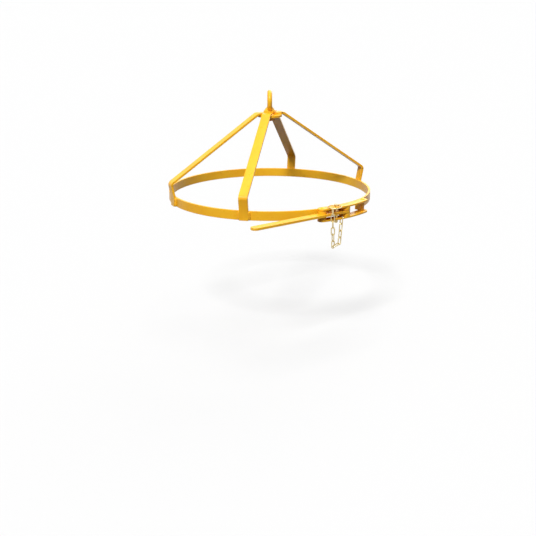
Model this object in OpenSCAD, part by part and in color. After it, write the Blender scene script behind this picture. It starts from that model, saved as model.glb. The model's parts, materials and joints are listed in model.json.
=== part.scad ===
/* [Band] */
// Inner radius of the closed band
band_inner_r = 287; // [270:0.5:305]
// Height of the band, the width of its flat bar
band_h = 25.4; // [20:0.1:40]
// Thickness of the band
band_t = 6.35; // [4:0.05:10]
// Clear gap between the two ends of the closed band
band_gap = 46; // [30:1:60]

/* [Frame arms] */
// Width of the flat bar that the arms are bent from
bar_w = 25.4; // [20:0.1:36]
// Thickness of the arm bar
bar_t = 6.35; // [4:0.05:10]
// Height from the top edge of the band to the top of the hub flats
frame_rise = 221; // [160:1:280]
// Length of the level flat across the hub
hub_flat = 81; // [80:1:120]
// Height of the elbow corner above the top edge of the band
elbow_h = 40; // [30:1:60]
// Radius from the band's axis to the outer corner of the elbow
elbow_r = 308; // [304:0.5:320]
// Inner radius of the bends
bend_r = 8; // [5:0.5:14]
// Azimuth of the front arm, from the front towards the right
front_az = -13.5; // [-20:0.5:-6]
// Azimuth of the left arm; the right arm lies opposite
side_az = -66; // [-75:0.5:-60]

/* [Hub and lifting eye] */
// Diameter of the round plate under the crossing bars
hub_plate_d = 70; // [60:1:90]
// Thickness of the hub plate
hub_plate_t = 6.35; // [4:0.05:10]
// Diameter of the rod of the eye ring
eye_rod_d = 14; // [10:0.5:18]
// Inner diameter of the eye ring
eye_inner_d = 34; // [30:1:44]
// Diameter of the collar that seats on the bar
eye_collar_d = 35; // [30:1:44]
// Height of the straight part of the collar
eye_collar_h = 4; // [2:0.5:8]
// Diameter of the threaded shank
shank_d = 16; // [12:1:20]
// Width across flats of the nut
nut_af = 24; // [22:1:32]
// Height of the nut
nut_h = 8; // [6:0.5:18]
// Outer diameter of the washer under the nut
washer_d = 30; // [28:1:40]
// Thickness of the washer
washer_t = 3; // [2:0.5:5]

/* [Latch] */
// Azimuth at which the closed lever is tangent to the band
latch_az = 37.5; // [30:0.5:45]
// Width of the lever
lever_w = 25.4; // [20:0.1:30]
// Thickness of the lever
lever_t = 6.35; // [4:0.05:8]
// Length of the lever from its pivot to its tip
lever_len = 317; // [250:1:400]
// Gap between the band and the closed lever
lever_gap = 2.55; // [1.5:0.05:5]
// Distance from the tangent point to the lever pivot
pivot_x = 21.5; // [18:0.1:30]
// Distance from the lever pivot to the coupling pin
throw = 33.5; // [30:0.5:40]
// Distance from the coupling pin to the lever guides at the link's left end
guide_reach = 45; // [40:0.5:60]
// Width of the link plates
link_w = 25.4; // [22:0.1:30]
// Thickness of the link plates
link_t = 4.76; // [3:0.02:8]
// Clearance between the link plates and the band edges
link_gap = 0.4; // [0.3:0.1:2]
// Diameter of the lever pivot pin
pivot_d = 10; // [8:0.5:12]
// Diameter of the draw pin
draw_d = 8; // [7:0.5:12]
// Diameter of the lever guides
guide_d = 22; // [18:0.5:24]
// Diameter of the rivet heads
rivet_d = 15; // [13:0.5:18]
// Height of the rivet heads
rivet_h = 3; // [2:0.5:5]
// Thickness of the washers on the lever pivot
pivot_washer_t = 1.3; // [1:0.1:1.6]
// Thickness of the web between the ears of the lug
lug_web_t = 4.6; // [4:0.1:8]
// Thickness of the keeper post
keeper_t = 5.5; // [5:0.1:10]
// Length of the keeper's pad past the centre of the draw pin
keeper_pad_len = 13.2; // [11:0.1:18]
// Reach of the keeper's post past the centre of the draw pin
keeper_cover = 3.2; // [2:0.1:5]

/* [Coupling pin and chain] */
// Diameter of the coupling pin
pin_d = 9.5; // [8:0.5:11]
// Length of the pin that shows below the lower link plate
pin_tip = 10; // [6:0.5:16]
// Diameter of the pin's drilled head
pin_head_d = 12.5; // [11:0.5:14]
// Height of the pin's head
pin_head_h = 5.6; // [5:0.1:10]
// Mean diameter of the ring in the pin's head
ring_d = 36; // [35:0.5:40]
// Wire diameter of that ring
ring_wire = 2.2; // [1.8:0.1:2.4]
// Wire diameter of the chain
chain_wire = 3; // [2.4:0.1:3.2]
// Inner length of a chain link
chain_pitch = 18.5; // [17:0.5:20]
// Inner width of a chain link
chain_inner_w = 6; // [6:0.1:7]

/* [Fits] */
// Radial clearance of a turning pin in its hole
run_clear = 0.05; // [0.02:0.01:0.1]
// Radial clearance of the fasteners in their holes
loose_clear = 0.3; // [0.2:0.05:0.5]
// Gap between pieces that slide past each other
slide_gap = 0.3; // [0.2:0.05:0.6]
// Leg of the weld beads on the feet
weld = 5; // [3:0.5:7]
// Leg of the weld beads on the hub
hub_weld = 2.5; // [1.5:0.5:4]
// Leg of the weld beads on the lug and the keeper
latch_weld = 3.5; // [2:0.5:5]

/* [Hidden] */
$fn = 64;

// How far a cut runs past the face it opens
cut = 1;
// How far a stem runs into the head that it is one piece with
lap = 1;
// How far a bead stops short of the band's edges
bead_stop = 1;

// Colours
paint = "#f2b61e";
paint_shade = "#e0a416";
zinc = "#c9c3a0";

// Heights, measured from the centre of the eye ring
ring_r = (eye_inner_d + eye_rod_d) / 2;
ring_lift = 0.5;
shank_past_nut = 1;
seat_z = -(ring_r + eye_rod_d / 2 + ring_lift);
plate_top_z = seat_z - bar_t;
nut_top_z = plate_top_z - hub_plate_t - washer_t;
shank_end_z = nut_top_z - nut_h - shank_past_nut;
band_top_z = seat_z - frame_rise;
band_mid_z = band_top_z - band_h / 2;
band_bottom_z = band_top_z - band_h;

// Band
band_outer_r = band_inner_r + band_t;

// Arm profile in radius and height below the hub flat: flat, slope, upright and foot
foot_r = band_outer_r + bar_t;
elbow_z = elbow_h - frame_rise;
slope = atan2(-elbow_z, elbow_r - hub_flat / 2);
lean = atan2(elbow_r - foot_r, elbow_h);
elbow_end = 90 + lean;
outer_bend_r = bend_r + bar_t;
hub_tangent = outer_bend_r * tan(slope / 2);
elbow_tangent = outer_bend_r * tan((elbow_end - slope) / 2);
hub_bend = [hub_flat / 2 - hub_tangent, -outer_bend_r];
elbow_bend = [elbow_r, elbow_z] - elbow_tangent * [cos(slope), -sin(slope)]
    - outer_bend_r * [sin(slope), cos(slope)];
foot_outer = [[foot_r, -frame_rise], [foot_r, -frame_rise - band_h]];
foot_inner = [[band_outer_r, -frame_rise - band_h], [band_outer_r, -frame_rise + bar_t * tan(lean / 2)]];
bend_steps = 10;
function bend_arc(centre, r, from, to) =
    [for (i = [0 : bend_steps]) let (a = from + (to - from) * i / bend_steps) centre + r * [sin(a), cos(a)]];
arm_outer = concat(bend_arc(hub_bend, outer_bend_r, 0, slope),
    bend_arc(elbow_bend, outer_bend_r, slope, elbow_end), foot_outer);
arm_inner = concat(foot_inner, bend_arc(elbow_bend, bend_r, elbow_end, slope),
    bend_arc(hub_bend, bend_r, slope, 0));
arm_side = concat(arm_outer, arm_inner);
other_side = [for (i = [len(arm_side) - 1 : -1 : 0]) [-arm_side[i][0], arm_side[i][1]]];

// Latch frame: x along the closed lever, -y away from the band's axis
lever_y = -(band_outer_r + lever_gap + lever_w / 2);
lever_pivot = [pivot_x, lever_y];
pin_at = [pivot_x - throw, lever_y];
link_r = norm(pin_at);
function on_link(x) = [x, -sqrt(link_r ^ 2 - x ^ 2)];

// Lug, then the gap in the band, then the keeper and the draw pin behind it
weld_room = 6;
lever_end_room = 0.5;
lug_web_x = pivot_x + lever_w / 2 + lever_end_room;
lug_end_x = lug_web_x + lug_web_t;
lug_foot_y = lever_y + lever_w / 4;
left_end_az = latch_az + asin((lug_end_x + weld_room) / band_outer_r);
right_end_az = left_end_az + 2 * asin(band_gap / (2 * band_outer_r));
keeper_x = band_outer_r * sin(right_end_az - latch_az);
draw_at = on_link(keeper_x + keeper_t + slide_gap + draw_d / 2);
keeper_end_x = draw_at[0] + keeper_pad_len;
keeper_pad_r = link_r - draw_d / 2 - 2 * slide_gap;
keeper_tip_y = draw_at[1] - keeper_cover;
keeper_root_y = -sqrt(band_inner_r ^ 2 - keeper_end_x ^ 2);
ear_gap = lever_t / 2 + pivot_washer_t + slide_gap / 2;
ear_h = band_h / 2 - ear_gap;

// Link plates, from the lever guides to the draw pin
guide_at = on_link(pin_at[0] - guide_reach);
link_from = atan2(guide_at[1], guide_at[0]);
link_to = atan2(draw_at[1], draw_at[0]);
link_inner_z = band_h / 2 + link_gap;
link_outer_z = link_inner_z + link_t;
link_edge_r = link_r + link_w / 2;

// Ring in the head of the coupling pin, leaning over the edge of the upper link plate
ring_turn = -147;
ring_rest_gap = 0.05;
ring_rise = ring_wire / 2 + ring_rest_gap;
ring_hole_play = 1.6;
ring_hole_d = ring_wire + ring_hole_play;
ring_bow = ring_d / 2 - sqrt(ring_d ^ 2 - pin_head_d ^ 2) / 2;
ring_reach = ring_d - ring_bow / 2;
ring_hole_z = link_outer_z + pin_head_h / 2;
ring_tilt = asin((ring_hole_z - link_outer_z - ring_rise) / ring_reach);
ring_end = pin_at + ring_reach * cos(ring_tilt) * [cos(ring_turn), sin(ring_turn)];

// Chain: two hanging strands and a level link between their ends
link_slack = 0.2;
chain_step = chain_pitch - link_slack;
chain_half = (chain_pitch + chain_wire) / 2;
chain_bow_r = (chain_inner_w + chain_wire) / 2;
left_links = 6;
right_links = 4;
chain_hole_play = 3;
chain_hole_d = chain_wire + chain_hole_play;
chain_strip = 3.6;
chain_hole_offset = 10.5;
chain_hole_x = pin_at[0] + chain_hole_offset;
chain_hole_y = -sqrt(link_edge_r ^ 2 - chain_hole_x ^ 2) + chain_strip + chain_hole_d / 2;
low_offset = 13.5;
low_clear = 4.7;
chain_low = [pin_at[0] - low_offset, -link_edge_r - low_clear];
left_top = [ring_end[0], ring_end[1], link_outer_z + ring_rise + (ring_wire + chain_wire) / 2 + link_slack];
hole_play_x = 0.9;
hole_play_y = 0.5;
hole_play_z = 1.2;
right_top = [chain_hole_x + hole_play_x, chain_hole_y - chain_bow_r + hole_play_y,
    -link_inner_z + chain_wire / 2 + hole_play_z];
left_low = chain_low - [chain_half, 0];
right_low = chain_low + [chain_half, 0];

// Turns the front direction to an azimuth about the band's axis
module at_azimuth(az) {
    rotate([0, 0, az]) children();
}

// Places the latch frame at the band's mid-height
module at_latch() {
    translate([0, 0, band_mid_z]) at_azimuth(latch_az) children();
}

// A flat bar on edge, its profile in radius and height, towards an azimuth
module bar_along(az, profile) {
    translate([0, 0, seat_z])
        at_azimuth(az)
            rotate([90, 0, -90])
                linear_extrude(bar_w, center = true)
                    polygon(profile);
}

// One arm, from the hub to its foot on the band
module arm(az) {
    bar_along(az, concat([[0, 0]], arm_side, [[0, -bar_t]]));
}

module shank_hole() {
    translate([0, 0, shank_end_z])
        cylinder(d = shank_d + 2 * loose_clear, h = seat_z - shank_end_z + cut);
}

// The flat of the front to back bar, which the side arms butt against
module hub_bar_flat() {
    at_azimuth(front_az)
        translate([-bar_w / 2, -hub_flat, seat_z - bar_t - cut])
            cube([bar_w, 2 * hub_flat, bar_t + 2 * cut]);
}

module clamp_band() {
    color(paint)
        translate([0, 0, band_bottom_z])
            rotate([0, 0, right_end_az - 90])
                rotate_extrude(angle = 360 - (right_end_az - left_end_az), $fn = 180)
                    translate([band_inner_r, 0])
                        square([band_t, band_h]);
}

module front_back_bar() {
    color(paint)
        difference() {
            bar_along(front_az, concat(arm_side, other_side));
            shank_hole();
        }
}

module left_arm() {
    color(paint)
        difference() {
            arm(side_az);
            hub_bar_flat();
        }
}

module right_arm() {
    color(paint)
        difference() {
            arm(side_az + 180);
            hub_bar_flat();
        }
}

module hub_plate() {
    color(paint_shade)
        difference() {
            translate([0, 0, plate_top_z - hub_plate_t])
                cylinder(d = hub_plate_d, h = hub_plate_t);
            shank_hole();
        }
}

// Forged eye bolt: ring, flared neck, collar and shank
module eye_bolt() {
    neck_h = ring_r - eye_rod_d / 2 - eye_collar_h;
    collar_step = 1;
    color(paint) {
        rotate([0, 90, 0])
            rotate_extrude()
                translate([ring_r, 0])
                    circle(d = eye_rod_d);
        translate([0, 0, seat_z])
            cylinder(d = eye_collar_d, h = eye_collar_h);
        translate([0, 0, seat_z + eye_collar_h])
            cylinder(d1 = eye_collar_d - 2 * collar_step, d2 = eye_rod_d, h = neck_h - ring_lift);
        translate([0, 0, shank_end_z])
            cylinder(d = shank_d, h = seat_z - shank_end_z + lap);
    }
}

module eye_washer() {
    color(zinc)
        translate([0, 0, nut_top_z])
            difference() {
                cylinder(d = washer_d, h = washer_t);
                translate([0, 0, -cut])
                    cylinder(d = shank_d + 2 * loose_clear, h = washer_t + 2 * cut);
            }
}

// Hexagon nut with its corners turned off at both ends
module eye_nut() {
    corner_d = nut_af / cos(30);
    face_d = nut_af + 0.4;
    color(paint_shade)
        translate([0, 0, nut_top_z - nut_h])
            difference() {
                intersection() {
                    cylinder(d = corner_d, h = nut_h, $fn = 6);
                    cylinder(d1 = face_d, d2 = face_d + 2 * nut_h, h = nut_h);
                    cylinder(d1 = face_d + 2 * nut_h, d2 = face_d, h = nut_h);
                }
                translate([0, 0, -cut])
                    cylinder(d = shank_d + 2 * run_clear, h = nut_h + 2 * cut);
            }
}

// Section of a bead standing on the band, against a face at x and on its far side
module bead_section(x, r) {
    difference() {
        intersection() {
            translate([x, -sqrt(band_outer_r ^ 2 - x ^ 2)])
                circle(r = r);
            translate([x, -band_outer_r - r])
                square([r, 2 * r + band_outer_r]);
        }
        circle(r = band_outer_r, $fn = 720);
    }
}

// Upright beads on both sides of each foot
module foot_welds() {
    color(paint)
        for (az = [front_az, front_az + 180, side_az, side_az + 180])
            for (flip = [0, 1])
                at_azimuth(az)
                    translate([0, 0, band_bottom_z + bead_stop])
                        mirror([flip, 0, 0])
                            linear_extrude(band_h - 2 * bead_stop)
                                bead_section(bar_w / 2, weld);
}

// A bead along one side of a bar on the hub plate, from one radius to another
module hub_bead(az, side, from_r, to_r) {
    at_azimuth(az)
        translate([side * bar_w / 2, -from_r, plate_top_z])
            rotate([90, 0, 0])
                mirror([(1 - side) / 2, 0, 0])
                    linear_extrude(to_r - from_r)
                        intersection() {
                            circle(r = hub_weld);
                            square(hub_weld);
                        }
}

// Beads on the open sides of the bars, clear of the corners where they meet
module hub_welds() {
    rim_room = 5;
    rim_r = hub_plate_d / 2 - rim_room;
    color(paint)
        for (end = [0, 180]) {
            hub_bead(front_az + end, 1, rim_r / 3, rim_r);
            hub_bead(side_az + end, -1, rim_r * 2 / 3, rim_r);
        }
}

// Lug on the band's left end: two ears about the lever and a web between them
module lever_lug() {
    color(paint)
        at_latch()
            difference() {
                union() {
                    for (z = [-band_h / 2, ear_gap])
                        translate([0, 0, z])
                            linear_extrude(ear_h) {
                                translate(lever_pivot)
                                    circle(d = lever_w);
                                translate([pivot_x - lever_w / 2, lever_y])
                                    square([lever_w, -lever_y - band_inner_r]);
                                translate([pivot_x, lug_foot_y])
                                    square([lug_end_x - pivot_x, -lug_foot_y - band_inner_r]);
                            }
                    translate([lug_web_x, lug_foot_y, -band_h / 2])
                        cube([lug_web_t, -lug_foot_y - band_inner_r, band_h]);
                }
                translate([0, 0, -band_h])
                    cylinder(r = band_outer_r, h = 2 * band_h, $fn = 180);
                translate([pivot_x, lever_y, -band_h])
                    cylinder(d = pivot_d + 2 * run_clear, h = 2 * band_h);
            }
}

module lever_pivot_pin() {
    color(zinc)
        at_latch()
            translate([pivot_x, lever_y, -band_h / 2])
                cylinder(d = pivot_d, h = band_h);
}

// Hooked block on the band's right end: a post and a pad that hold the draw pin
module keeper() {
    color(paint)
        at_latch()
            translate([0, 0, -band_h / 2])
                difference() {
                    linear_extrude(band_h) {
                        translate([keeper_x + keeper_t / 2, keeper_tip_y])
                            circle(d = keeper_t);
                        translate([keeper_x, keeper_tip_y])
                            square([keeper_t, keeper_root_y - keeper_tip_y]);
                        intersection() {
                            circle(r = keeper_pad_r, $fn = 180);
                            translate([keeper_x, -keeper_pad_r])
                                square([keeper_end_x - keeper_x, keeper_root_y + keeper_pad_r]);
                        }
                    }
                    translate([0, 0, -cut])
                        cylinder(r = band_outer_r, h = band_h + 2 * cut, $fn = 180);
                    translate([draw_at[0], draw_at[1], -cut])
                        cylinder(d = draw_d + 2 * slide_gap, h = band_h + 2 * cut);
                }
}

// Beads at the roots of the lug and the keeper
module latch_welds() {
    color(paint)
        at_latch() {
            for (x = [lug_end_x, keeper_end_x])
                translate([0, 0, -band_h / 2 + bead_stop])
                    linear_extrude(band_h - 2 * bead_stop)
                        bead_section(x, latch_weld);
            for (z = [-band_h / 2 + bead_stop, ear_gap + bead_stop])
                translate([0, 0, z])
                    mirror([1, 0, 0])
                        linear_extrude(ear_h - 2 * bead_stop)
                            bead_section(lever_w / 2 - pivot_x, latch_weld);
        }
}

module lever() {
    tip_x = pivot_x - lever_len + lever_w / 2;
    color(paint)
        at_latch()
            translate([0, 0, -lever_t / 2])
                difference() {
                    linear_extrude(lever_t) {
                        translate(lever_pivot)
                            circle(d = lever_w);
                        translate([tip_x, lever_y])
                            circle(d = lever_w);
                        translate([tip_x, lever_y - lever_w / 2])
                            square([pivot_x - tip_x, lever_w]);
                    }
                    translate([pivot_x, lever_y, -cut])
                        cylinder(d = pivot_d + 2 * run_clear, h = lever_t + 2 * cut);
                    translate([pin_at[0], pin_at[1], -cut])
                        cylinder(d = pin_d + 2 * run_clear, h = lever_t + 2 * cut);
                }
}

// A washer between the lever and an ear of the lug
module pivot_washer(from_z) {
    at_latch()
        translate([pivot_x, lever_y, from_z])
            difference() {
                cylinder(d = 2 * pivot_d, h = pivot_washer_t);
                translate([0, 0, -cut])
                    cylinder(d = pivot_d + 2 * run_clear, h = pivot_washer_t + 2 * cut);
            }
}

module upper_pivot_washer() {
    color(zinc) pivot_washer(lever_t / 2);
}

module lower_pivot_washer() {
    color(zinc) pivot_washer(-lever_t / 2 - pivot_washer_t);
}

// Outline of a link plate: a strip along the link's arc, with round ends
module link_outline() {
    for (at = [guide_at, draw_at])
        translate(at)
            circle(d = link_w);
    intersection() {
        difference() {
            circle(r = link_edge_r, $fn = 360);
            circle(r = link_edge_r - link_w, $fn = 360);
        }
        polygon([[0, 0], 1.2 * guide_at, 1.2 * draw_at]);
    }
}

// A link plate, drilled for its pins and for what its children cut
module link_plate(from_z) {
    translate([0, 0, from_z])
        linear_extrude(link_t)
            difference() {
                link_outline();
                translate(pin_at)
                    circle(d = pin_d + 2 * run_clear);
                translate(draw_at)
                    circle(d = draw_d + 2 * run_clear);
                translate(guide_at)
                    circle(d = guide_d / 2 + 2 * run_clear);
                children();
            }
}

module upper_link_plate() {
    color(paint) at_latch() link_plate(link_inner_z);
}

module lower_link_plate() {
    color(paint)
        at_latch()
            link_plate(-link_outer_z)
                translate([chain_hole_x, chain_hole_y])
                    circle(d = chain_hole_d);
}

// A domed rivet head, flat side down
module rivet_head() {
    dome_r = (rivet_d ^ 2 / 4 + rivet_h ^ 2) / (2 * rivet_h);
    intersection() {
        translate([0, 0, rivet_h - dome_r])
            sphere(r = dome_r);
        cylinder(d = rivet_d, h = rivet_h);
    }
}

// Pin through both link plates, riveted over at each end
module draw_pin() {
    color(paint)
        at_latch()
            translate([draw_at[0], draw_at[1], 0]) {
                translate([0, 0, -link_outer_z - lap / 2])
                    cylinder(d = draw_d, h = 2 * link_outer_z + lap);
                for (flip = [0, 1])
                    mirror([0, 0, flip])
                        translate([0, 0, link_outer_z])
                            rivet_head();
            }
}

// Shouldered stud in a link plate that keeps the lever midway between the plates
module lever_guide() {
    translate([guide_at[0], guide_at[1], 0]) {
        translate([0, 0, lever_t / 2 + slide_gap])
            cylinder(d = guide_d, h = link_inner_z - lever_t / 2 - slide_gap);
        translate([0, 0, link_inner_z - lap / 2])
            cylinder(d = guide_d / 2, h = link_t + lap);
        translate([0, 0, link_outer_z])
            rivet_head();
    }
}

module upper_guide() {
    color(paint) at_latch() lever_guide();
}

module lower_guide() {
    color(paint) at_latch() mirror([0, 0, 1]) lever_guide();
}

// One chain link in the xz plane, its long axis along z
module chain_link() {
    straight = chain_pitch - chain_inner_w;
    for (side = [-1, 1])
        translate([side * chain_bow_r, 0, -straight / 2])
            cylinder(d = chain_wire, h = straight, $fn = 24);
    for (flip = [0, 1])
        mirror([0, 0, flip])
            translate([0, 0, straight / 2])
                rotate([90, 0, 0])
                    rotate_extrude(angle = 180, $fn = 32)
                        translate([chain_bow_r, 0])
                            circle(d = chain_wire, $fn = 24);
}

function strand_reach(count) = 2 * chain_half + (count - 1) * chain_step;

// Centre of the lowest bow of a strand that leans from its top towards a place in plan
function strand_bow(top, low, count) =
    let (drift = low - [top[0], top[1]])
    let (drop = sqrt(strand_reach(count) ^ 2 - drift[0] ^ 2 - drift[1] ^ 2))
    let (share = 1 - chain_bow_r / strand_reach(count))
    top + share * [drift[0], drift[1], -drop];

// A hanging strand; the alternate links turn from first_turn at the top to 0 below
module strand(top, low, count, first_turn) {
    drift = low - [top[0], top[1]];
    aim = atan2(drift[1], drift[0]);
    translate(top)
        rotate([0, 0, aim])
            rotate([0, -asin(norm(drift) / strand_reach(count)), 0])
                rotate([0, 0, -aim])
                    for (i = [0 : count - 1])
                        translate([0, 0, -chain_half - i * chain_step])
                            rotate([0, 0, 90 * (count - 1 - i) + first_turn * (1 - i / (count - 1))])
                                chain_link();
}

module tether_chain() {
    left_bow = strand_bow(left_top, left_low, left_links);
    right_bow = strand_bow(right_top, right_low, right_links);
    across = right_bow - left_bow;
    color(zinc)
        at_latch() {
            strand(left_top, left_low, left_links, ring_turn + 90);
            strand(right_top, right_low, right_links, 0);
            translate((left_bow + right_bow) / 2 - [0, 0, 3 * link_slack])
                rotate([0, 90 - atan2(across[2], across[0]), 0])
                    rotate([0, 0, 90])
                        chain_link();
        }
}

// Pin with a drilled head and a tapered tip
module coupling_pin() {
    tip_z = -link_outer_z - pin_tip;
    taper_h = 2;
    tip_d = pin_d - 3;
    color(zinc)
        at_latch()
            translate([pin_at[0], pin_at[1], 0])
                difference() {
                    union() {
                        translate([0, 0, link_outer_z])
                            cylinder(d = pin_head_d, h = pin_head_h);
                        translate([0, 0, tip_z + taper_h])
                            cylinder(d = pin_d, h = link_outer_z - tip_z - taper_h);
                        translate([0, 0, tip_z])
                            cylinder(d1 = tip_d, d2 = pin_d, h = taper_h);
                    }
                    translate([0, 0, ring_hole_z])
                        rotate([0, 0, ring_turn])
                            rotate([90, 0, 0])
                                cylinder(d = ring_hole_d, h = 2 * pin_head_d, center = true);
                }
}

module pin_ring() {
    color(zinc)
        at_latch()
            translate([pin_at[0], pin_at[1], ring_hole_z])
                rotate([0, 0, ring_turn])
                    rotate([0, ring_tilt, 0])
                        translate([ring_reach - ring_d / 2, 0, 0])
                            rotate_extrude()
                                translate([ring_d / 2, 0])
                                    circle(d = ring_wire, $fn = 24);
}

clamp_band();
front_back_bar();
left_arm();
right_arm();
hub_plate();
eye_bolt();
eye_washer();
eye_nut();
foot_welds();
hub_welds();
lever_lug();
lever_pivot_pin();
keeper();
latch_welds();
lever();
upper_pivot_washer();
lower_pivot_washer();
upper_link_plate();
lower_link_plate();
draw_pin();
upper_guide();
lower_guide();
tether_chain();
coupling_pin();
pin_ring();
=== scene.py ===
import json
import math

import bmesh
import bpy
from mathutils import Matrix, Vector


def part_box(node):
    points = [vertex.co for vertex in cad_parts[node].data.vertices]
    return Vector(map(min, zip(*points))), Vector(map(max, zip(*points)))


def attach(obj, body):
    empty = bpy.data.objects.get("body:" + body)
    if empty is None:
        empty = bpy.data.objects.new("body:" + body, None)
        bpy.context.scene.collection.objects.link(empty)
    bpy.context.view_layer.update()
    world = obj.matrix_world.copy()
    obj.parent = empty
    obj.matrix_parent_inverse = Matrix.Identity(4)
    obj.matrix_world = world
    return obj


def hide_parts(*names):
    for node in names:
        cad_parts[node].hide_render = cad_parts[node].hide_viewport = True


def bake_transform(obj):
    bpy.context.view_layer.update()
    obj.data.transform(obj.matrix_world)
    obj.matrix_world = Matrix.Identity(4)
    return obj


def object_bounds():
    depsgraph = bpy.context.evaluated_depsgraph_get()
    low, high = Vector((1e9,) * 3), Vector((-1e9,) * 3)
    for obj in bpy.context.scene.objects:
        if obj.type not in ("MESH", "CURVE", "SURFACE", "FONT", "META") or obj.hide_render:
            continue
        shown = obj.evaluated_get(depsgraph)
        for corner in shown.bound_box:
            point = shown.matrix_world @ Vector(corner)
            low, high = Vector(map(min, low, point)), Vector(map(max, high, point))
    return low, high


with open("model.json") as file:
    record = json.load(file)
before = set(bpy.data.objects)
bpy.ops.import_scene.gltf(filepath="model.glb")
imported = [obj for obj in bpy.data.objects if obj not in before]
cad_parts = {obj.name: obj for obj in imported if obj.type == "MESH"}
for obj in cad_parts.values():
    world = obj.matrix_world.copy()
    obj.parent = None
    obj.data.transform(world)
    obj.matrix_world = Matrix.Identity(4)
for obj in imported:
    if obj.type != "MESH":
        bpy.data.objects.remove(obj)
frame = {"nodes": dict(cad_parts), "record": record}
cad_low, cad_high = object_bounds()
nodes = frame["nodes"]
mounts = {mount["name"]: mount for mount in frame["record"]["mounts"]}
slots = {subpart["node"]: subpart["material_slot"] for subpart in frame["record"]["subparts"]}

# Flat bar and band, in metres
BAR_W = 0.0254
BAR_T = 0.00635
BAND_OUTER_R = mounts["drum_clamp"]["dims"]["r_mm"] / 1000 + BAR_T
BAND_MID_Z = mounts["drum_clamp"]["pos_m"][2]

# Directions from the middle of the band, in degrees to the right of the front
FRONT_AZIMUTH = -13.5
BACK_AZIMUTH = FRONT_AZIMUTH + 180
LEFT_AZIMUTH = -66.0
RIGHT_AZIMUTH = LEFT_AZIMUTH + 180
ARM_AZIMUTHS = (FRONT_AZIMUTH, BACK_AZIMUTH, LEFT_AZIMUTH, RIGHT_AZIMUTH)
LATCH_AZIMUTH = 37.5

# Weld beads: the leg of each kind of fillet and the pitch of the ripples
FOOT_WELD_LEG = 0.005
HUB_WELD_LEG = 0.0025
LATCH_WELD_LEG = 0.0035
WELD_PITCH = 0.0026

# Face of a bead: how far its ripples and a slow wander of its width go, as shares of the leg, and
# the wander's turn in radians along a bead and in radians per metre across the part
RIPPLE_HEIGHT = 0.07
WANDER_HEIGHT = 0.02
WANDER_ALONG = 37.0
WANDER_ACROSS = 9.0

# Ends of a bead: how fast they swell to the full leg, and how blunt they start
END_SWELL = 1.6
END_BLUNT = 0.08

# Steps of a bead's mesh
STEPS_PER_RIPPLE = 6
LEAST_STEPS = 8
ARC_STEPS = 7

# Hub welds: the bar's azimuth, its welded side, and the radius from which the bead runs to its end
HUB_WELD_END_R = 0.030
HUB_WELDS = (
    (FRONT_AZIMUTH, 1, 0.010),
    (BACK_AZIMUTH, 1, 0.010),
    (LEFT_AZIMUTH, -1, 0.020),
    (RIGHT_AZIMUTH, -1, 0.020),
)

# Latch welds in the latch frame, whose x runs right along the closed lever
LUG_LEFT_X = 0.0088
LUG_RIGHT_X = 0.0393
KEEPER_RIGHT_X = 0.11305
EAR_WELD_Z = 0.005625

# The chain's pieces from left to right in the latch frame: the right edge of each one's links, and
# the start and end of the line along which the pin's draw is shared out
CHAIN_STRANDS = {
    "chain_left_strand": {
        "right_edge": -0.032,
        "start": (-0.039, -0.327, -0.2478),
        "end": (-0.039, -0.327, 0.0218),
    },
    "chain_low_link": {
        "right_edge": -0.019,
        "start": (0.0210, -0.325, -0.085),
        "end": (-0.0776, -0.325, -0.085),
    },
    "chain_right_strand": {
        "right_edge": 0.050,
        "start": (-0.008, -0.325, -0.0114),
        "end": (-0.008, -0.325, -0.2180),
    },
}

# Rounding of the solids' edges, which round wire and welds don't need
EDGE_WIDTH = 0.0006
EDGE_SEGMENTS = 2
EDGE_ANGLE = 35
FLAT_FACE_WEIGHT = 60
MERGE_DISTANCE = 1e-6
UNROUNDED_NODES = ("pin_ring", "tether_chain", "foot_welds", "hub_welds", "latch_welds")

# Colours of the paint and its wear, and the pale and dull shades of the zinc plates
PAINT_DEEP = (0.86, 0.415, 0.012)
PAINT_LIGHT = (0.90, 0.49, 0.020)
PAINT_GRIME = (0.56, 0.24, 0.014)
BARE_STEEL = (0.105, 0.070, 0.045)
BRIGHT_ZINC = ((0.66, 0.66, 0.64), (0.46, 0.46, 0.45))
YELLOWISH_ZINC = ((0.74, 0.64, 0.38), (0.50, 0.36, 0.13))
CHIP_REACH = 0.0015

# Camera at the photograph's viewing angle, looking down by the pitch in degrees
CAMERA_LENS = 65.35
CAMERA_SENSOR = 36.0
CAMERA_PLACE = (-0.0048, -2.793, 0.3665)
CAMERA_PITCH = 17.22

# Floor, and the lamps with their spread in degrees
FLOOR_DROP = 0.30
FLOOR_REACH = 60.0
FLOOR_GLOW = 0.475
FLOOR_SEEN = (0.30, 0.30, 0.30)
FLOOR_UNSEEN = (0.04, 0.04, 0.04)
WHITE = (1.0, 1.0, 1.0, 1.0)
LAMPS = {
    "key": {"place": (-0.7, -2.3, 2.4), "spread": 12, "strength": 2.95},
    "top": {"place": (0.1, -0.1, 2.6), "spread": 26, "strength": 1.2},
    "back": {"place": (0.9, 2.2, 1.5), "spread": 40, "strength": 1.3},
}

# Places of the mix node's colour sockets, which share their names with its number sockets
MIX_A = 6
MIX_B = 7
MIX_RESULT = 2


def at_azimuth(degrees):
    return Matrix.Rotation(math.radians(degrees), 4, "Z")


def new_material(name):
    material = bpy.data.materials.new(name)
    material.use_nodes = True
    tree = material.node_tree
    shader = tree.nodes["Principled BSDF"]
    return material, tree, shader


def add_node(tree, kind, **inputs):
    node = tree.nodes.new(kind)
    for key, value in inputs.items():
        node.inputs[key.replace("_", " ")].default_value = value
    return node


def object_coords(tree):
    return tree.nodes.new("ShaderNodeTexCoord").outputs["Object"]


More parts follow.
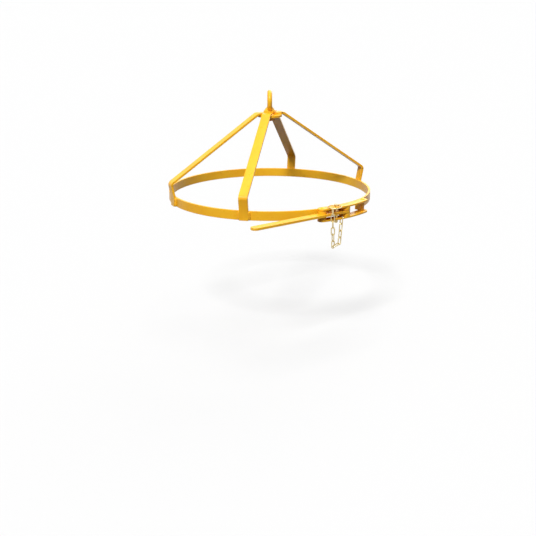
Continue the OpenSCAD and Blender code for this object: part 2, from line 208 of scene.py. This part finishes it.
def noise(tree, coords, scale, detail=4.0, roughness=0.55):
    node = add_node(tree, "ShaderNodeTexNoise", Scale=scale, Detail=detail, Roughness=roughness)
    tree.links.new(coords, node.inputs["Vector"])
    return node.outputs["Fac"]


def remap(tree, value, low, high, to_low=0.0, to_high=1.0):
    node = add_node(tree, "ShaderNodeMapRange", From_Min=low, From_Max=high, To_Min=to_low, To_Max=to_high)
    tree.links.new(value, node.inputs["Value"])
    return node.outputs["Result"]


def math_node(tree, operation, a, b):
    node = tree.nodes.new("ShaderNodeMath")
    node.operation = operation
    for socket, value in zip(node.inputs, (a, b)):
        if isinstance(value, float):
            socket.default_value = value
        else:
            tree.links.new(value, socket)
    return node.outputs["Value"]


def mix_colour(tree, factor, a, b):
    node = tree.nodes.new("ShaderNodeMix")
    node.data_type = "RGBA"
    tree.links.new(factor, node.inputs["Factor"])
    for place, value in ((MIX_A, a), (MIX_B, b)):
        if isinstance(value, tuple):
            node.inputs[place].default_value = (*value, 1.0)
        else:
            tree.links.new(value, node.inputs[place])
    return node.outputs[MIX_RESULT]


def edge_mask(tree, radius):
    """How far the surface turns within a radius: 0 on a flat, more at an edge."""
    bevel = add_node(tree, "ShaderNodeBevel", Radius=radius)
    bevel.samples = 6
    geometry = tree.nodes.new("ShaderNodeNewGeometry")
    dot = tree.nodes.new("ShaderNodeVectorMath")
    dot.operation = "DOT_PRODUCT"
    tree.links.new(bevel.outputs["Normal"], dot.inputs[0])
    tree.links.new(geometry.outputs["Normal"], dot.inputs[1])
    return remap(tree, dot.outputs["Value"], low=1.0, high=0.75)


def add_bump(tree, shader, height, strength, distance):
    bump = add_node(tree, "ShaderNodeBump", Strength=strength, Distance=distance)
    tree.links.new(height, bump.inputs["Height"])
    tree.links.new(bump.outputs["Normal"], shader.inputs["Normal"])


def yellow_paint():
    """Brushed enamel: small shifts of colour, grime, an orange-peel surface and chips along the edges."""
    material, tree, shader = new_material("yellow_paint")
    coords = object_coords(tree)
    shift = remap(tree, noise(tree, coords, scale=14.0), low=0.35, high=0.68)
    fresh = mix_colour(tree, shift, PAINT_DEEP, PAINT_LIGHT)
    smudges = noise(tree, coords, scale=42.0, detail=7.0, roughness=0.65)
    grime = remap(tree, smudges, low=0.60, high=0.78, to_high=0.45)
    worn = mix_colour(tree, grime, fresh, PAINT_GRIME)
    flakes = remap(tree, noise(tree, coords, scale=260.0, detail=6.0, roughness=0.7), low=0.47, high=0.57)
    patches = remap(tree, noise(tree, coords, scale=30.0, detail=3.0), low=0.45, high=0.60)
    chips = math_node(tree, "MULTIPLY", edge_mask(tree, CHIP_REACH), flakes)
    chips = math_node(tree, "MULTIPLY", chips, patches)
    colour = mix_colour(tree, chips, worn, BARE_STEEL)
    gloss = remap(tree, noise(tree, coords, scale=70.0), low=0.3, high=0.7, to_low=0.26, to_high=0.40)
    tree.links.new(colour, shader.inputs["Base Color"])
    tree.links.new(gloss, shader.inputs["Roughness"])
    shader.inputs["Specular IOR Level"].default_value = 0.28
    orange_peel = noise(tree, coords, scale=900.0, detail=2.0)
    add_bump(tree, shader, orange_peel, strength=0.12, distance=0.0004)
    return material


def zinc_plate(name, pale, dull):
    """Plated steel, clouded between a pale and a dull shade, with a finely grained surface."""
    material, tree, shader = new_material(name)
    coords = object_coords(tree)
    cloud = remap(tree, noise(tree, coords, scale=130.0, detail=5.0), low=0.35, high=0.7)
    gloss = remap(tree, noise(tree, coords, scale=300.0), low=0.3, high=0.7, to_low=0.24, to_high=0.42)
    tree.links.new(mix_colour(tree, cloud, pale, dull), shader.inputs["Base Color"])
    tree.links.new(gloss, shader.inputs["Roughness"])
    shader.inputs["Metallic"].default_value = 1.0
    grain = noise(tree, coords, scale=700.0, detail=3.0)
    add_bump(tree, shader, grain, strength=0.1, distance=0.0003)
    return material


def seen_directly(tree):
    """1 where the camera, a reflection or a clear piece looks at the surface, 0 where it only lights."""
    path = tree.nodes.new("ShaderNodeLightPath").outputs
    seen = math_node(tree, "MAXIMUM", path["Is Camera Ray"], path["Is Glossy Ray"])
    return math_node(tree, "MAXIMUM", seen, path["Is Transmission Ray"])


def plain_floor():
    """Pale and plain with the object's soft shadow; it throws little light back up."""
    material, tree, shader = new_material("pale_floor")
    seen = seen_directly(tree)
    tree.links.new(mix_colour(tree, seen, FLOOR_UNSEEN, FLOOR_SEEN), shader.inputs["Base Color"])
    shader.inputs["Roughness"].default_value = 1.0
    shader.inputs["Specular IOR Level"].default_value = 0.0
    shader.inputs["Emission Color"].default_value = WHITE
    glow = math_node(tree, "MULTIPLY", seen, FLOOR_GLOW)
    tree.links.new(glow, shader.inputs["Emission Strength"])
    return material


def studio_world():
    """Soft light from above that fades towards the floor; white where it is seen."""
    world = bpy.data.worlds.new("studio")
    world.use_nodes = True
    tree = world.node_tree
    coords = tree.nodes.new("ShaderNodeTexCoord")
    height = tree.nodes.new("ShaderNodeSeparateXYZ")
    tree.links.new(coords.outputs["Generated"], height.inputs["Vector"])
    light = remap(tree, height.outputs["Z"], low=-0.1, high=0.9, to_low=0.06, to_high=0.60)
    strength = math_node(tree, "MAXIMUM", light, seen_directly(tree))
    background = tree.nodes["Background"]
    background.inputs["Color"].default_value = WHITE
    tree.links.new(strength, background.inputs["Strength"])
    return world


# Finishes by material slot
FINISHES = {
    "yellow_paint": yellow_paint(),
    "zinc_pin": zinc_plate("zinc_pin", *BRIGHT_ZINC),
    "passivated_zinc": zinc_plate("passivated_zinc", *YELLOWISH_ZINC),
}


def smooth(mesh):
    mesh.polygons.foreach_set("use_smooth", [True] * len(mesh.polygons))


def soften_edges(obj):
    """Joins the solid's faces, rounds its edges and keeps its flats flat."""
    weld = obj.modifiers.new("join_faces", "WELD")
    weld.merge_threshold = MERGE_DISTANCE
    bevel = obj.modifiers.new("round_edges", "BEVEL")
    bevel.width = EDGE_WIDTH
    bevel.segments = EDGE_SEGMENTS
    bevel.limit_method = "ANGLE"
    bevel.angle_limit = math.radians(EDGE_ANGLE)
    normals = obj.modifiers.new("flat_faces", "WEIGHTED_NORMAL")
    normals.weight = FLAT_FACE_WEIGHT


def dress_frame():
    for name, obj in nodes.items():
        obj.data.materials.clear()
        obj.data.materials.append(FINISHES[slots[name]])
        smooth(obj.data)
        if name not in UNROUNDED_NODES:
            soften_edges(obj)


def new_piece(name, vertices, faces, slot):
    mesh = bpy.data.meshes.new(name)
    mesh.from_pydata(vertices, [], faces)
    mesh.update()
    mesh.materials.append(FINISHES[slot])
    smooth(mesh)
    obj = bpy.data.objects.new(name, mesh)
    bpy.context.scene.collection.objects.link(obj)
    return obj


def between(a, b, share):
    """The direction a share of the way round from a to b."""
    turn = a.angle(b)
    return (math.sin((1 - share) * turn) * a + math.sin(share * turn) * b) / math.sin(turn)


def bead_width(share, length, leg, across):
    """The width of a bead's face at a share of its length: rippled, wandering and rounded at the ends."""
    phase = (share * length / WELD_PITCH) % 1.0
    ripple = RIPPLE_HEIGHT * (math.sin(math.pi * phase) - 1)
    wander = WANDER_HEIGHT * (math.sin(WANDER_ALONG * share + WANDER_ACROSS * across) - 1)
    to_end = min(share, 1 - share) * length / leg
    taper = min(1.0, math.sqrt(to_end * END_SWELL + END_BLUNT))
    return leg * (1 + ripple + wander) * taper


def bead_mesh(start, end, floor, wall, leg, vertices, faces):
    """A ripple-faced fillet bead from start to end, between the directions along a floor and up a wall."""
    if (end - start).cross(floor).dot(wall) < 0:
        start, end = end, start
    along = end - start
    steps = max(LEAST_STEPS, round(along.length / WELD_PITCH * STEPS_PER_RIPPLE))
    base = len(vertices)
    for i in range(steps + 1):
        centre = start + along * (i / steps)
        width = bead_width(i / steps, along.length, leg, centre.x)
        for j in range(ARC_STEPS + 1):
            vertices.append(centre + width * between(floor, wall, j / ARC_STEPS))
        vertices.append(centre)
    ring = ARC_STEPS + 2
    for i in range(steps):
        for j in range(ring):
            a = base + i * ring + j
            b = base + i * ring + (j + 1) % ring
            faces.append((a, b, b + ring, a + ring))
    faces.append(tuple(base + j for j in reversed(range(ring))))
    faces.append(tuple(base + steps * ring + j for j in range(ring)))


def upright_bead(azimuth, x, side, low_z, high_z, leg, vertices, faces):
    """A bead on the band's outside, against an upright face at x that looks to one side."""
    turn = at_azimuth(azimuth)
    root = Vector((x, -math.sqrt(BAND_OUTER_R ** 2 - x ** 2), 0))
    along_band = side * Vector((-root.y, root.x, 0)).normalized()
    floor = turn @ along_band
    wall = turn @ Vector((0, -1, 0))
    ends = [turn @ (root + Vector((0, 0, z))) for z in (low_z, high_z)]
    bead_mesh(*ends, floor, wall, leg, vertices, faces)


def weld_piece(name, node, vertices, faces):
    piece = new_piece(name, vertices, faces, "yellow_paint")
    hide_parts(node)
    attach(piece, "frame")


def foot_beads():
    """Weld beads up both sides of each foot, where it lies on the band."""
    vertices, faces = [], []
    low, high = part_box("foot_welds")
    for azimuth in ARM_AZIMUTHS:
        for side in (-1, 1):
            upright_bead(azimuth, side * BAR_W / 2, side, low.z, high.z, FOOT_WELD_LEG, vertices, faces)
    weld_piece("foot_beads", "foot_welds", vertices, faces)


def latch_beads():
    """Beads at the roots of the lug and the keeper; the lug's left side has one on each ear."""
    vertices, faces = [], []
    low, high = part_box("latch_welds")
    beads = (
        (LUG_RIGHT_X, 1, low.z, high.z),
        (KEEPER_RIGHT_X, 1, low.z, high.z),
        (LUG_LEFT_X, -1, low.z, BAND_MID_Z - EAR_WELD_Z),
        (LUG_LEFT_X, -1, BAND_MID_Z + EAR_WELD_Z, high.z),
    )
    for x, side, low_z, high_z in beads:
        upright_bead(LATCH_AZIMUTH, x, side, low_z, high_z, LATCH_WELD_LEG, vertices, faces)
    weld_piece("latch_beads", "latch_welds", vertices, faces)


def hub_beads():
    """Beads along the open sides of the bars on the hub plate."""
    vertices, faces = [], []
    plate_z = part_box("hub_welds")[0].z
    up = Vector((0, 0, 1))
    for azimuth, side, start_r in HUB_WELDS:
        turn = at_azimuth(azimuth)
        ends = [turn @ Vector((side * BAR_W / 2, -r, plate_z)) for r in (start_r, HUB_WELD_END_R)]
        bead_mesh(*ends, turn @ Vector((side, 0, 0)), up, HUB_WELD_LEG, vertices, faces)
    weld_piece("hub_beads", "hub_welds", vertices, faces)


def mesh_islands(mesh):
    """The mesh's separate closed pieces, each as a list of places and a list of faces."""
    work = bmesh.new()
    work.from_mesh(mesh)
    bmesh.ops.remove_doubles(work, verts=work.verts, dist=MERGE_DISTANCE)
    work.verts.ensure_lookup_table()
    seen, islands = set(), []
    for first in work.verts:
        if first in seen:
            continue
        stack, members = [first], {first: 0}
        while stack:
            for edge in stack.pop().link_edges:
                for vertex in edge.verts:
                    if vertex not in members:
                        members[vertex] = len(members)
                        stack.append(vertex)
        seen.update(members)
        faces = {face for vertex in members for face in vertex.link_faces}
        ordered = sorted(faces, key=lambda face: face.index)
        places = [vertex.co.copy() for vertex in members]
        islands.append((places, [tuple(members[v] for v in face.verts) for face in ordered]))
    work.free()
    return islands


def loose_chain():
    """The chain in three pieces, from the link plate up to the pin's ring."""
    to_latch = at_azimuth(-LATCH_AZIMUTH) @ Matrix.Translation((0, 0, -BAND_MID_Z))
    meshes = {name: ([], []) for name in CHAIN_STRANDS}
    for places, faces in mesh_islands(nodes["tether_chain"].data):
        across = sum((to_latch @ place).x for place in places) / len(places)
        name = next(name for name, strand in CHAIN_STRANDS.items() if across < strand["right_edge"])
        vertices, all_faces = meshes[name]
        base = len(vertices)
        vertices.extend(places)
        all_faces.extend(tuple(base + i for i in face) for face in faces)
    for name, strand in CHAIN_STRANDS.items():
        piece = new_piece(name, *meshes[name], "passivated_zinc")
        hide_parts("tether_chain")
        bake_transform(piece)


def camera():
    data = bpy.data.cameras.new("camera")
    data.lens = CAMERA_LENS
    data.sensor_width = CAMERA_SENSOR
    obj = bpy.data.objects.new("camera", data)
    obj.location = CAMERA_PLACE
    obj.rotation_euler = (math.radians(90 - CAMERA_PITCH), 0, 0)
    bpy.context.scene.collection.objects.link(obj)
    bpy.context.scene.camera = obj


def soft_sun(name, place, spread, strength):
    """Even light from one side, as from a wide lamp far away."""
    data = bpy.data.lights.new(name, "SUN")
    data.energy = strength
    data.angle = math.radians(spread)
    obj = bpy.data.objects.new(name, data)
    obj.location = place
    obj.rotation_euler = Vector(place).to_track_quat("Z", "Y").to_euler()
    bpy.context.scene.collection.objects.link(obj)


def studio():
    floor_z = cad_low.z - FLOOR_DROP
    sides = (-FLOOR_REACH, FLOOR_REACH)
    corners = [(x, y, floor_z) for y in sides for x in sides]
    mesh = bpy.data.meshes.new("floor")
    mesh.from_pydata(corners, [], [(0, 1, 3, 2)])
    mesh.materials.append(plain_floor())
    floor = bpy.data.objects.new("floor", mesh)
    bpy.context.scene.collection.objects.link(floor)
    bpy.context.scene.world = studio_world()
    for name, lamp in LAMPS.items():
        soft_sun(name, **lamp)
    bpy.context.scene.view_settings.view_transform = "Standard"


dress_frame()
foot_beads()
latch_beads()
hub_beads()
loose_chain()
camera()
studio()
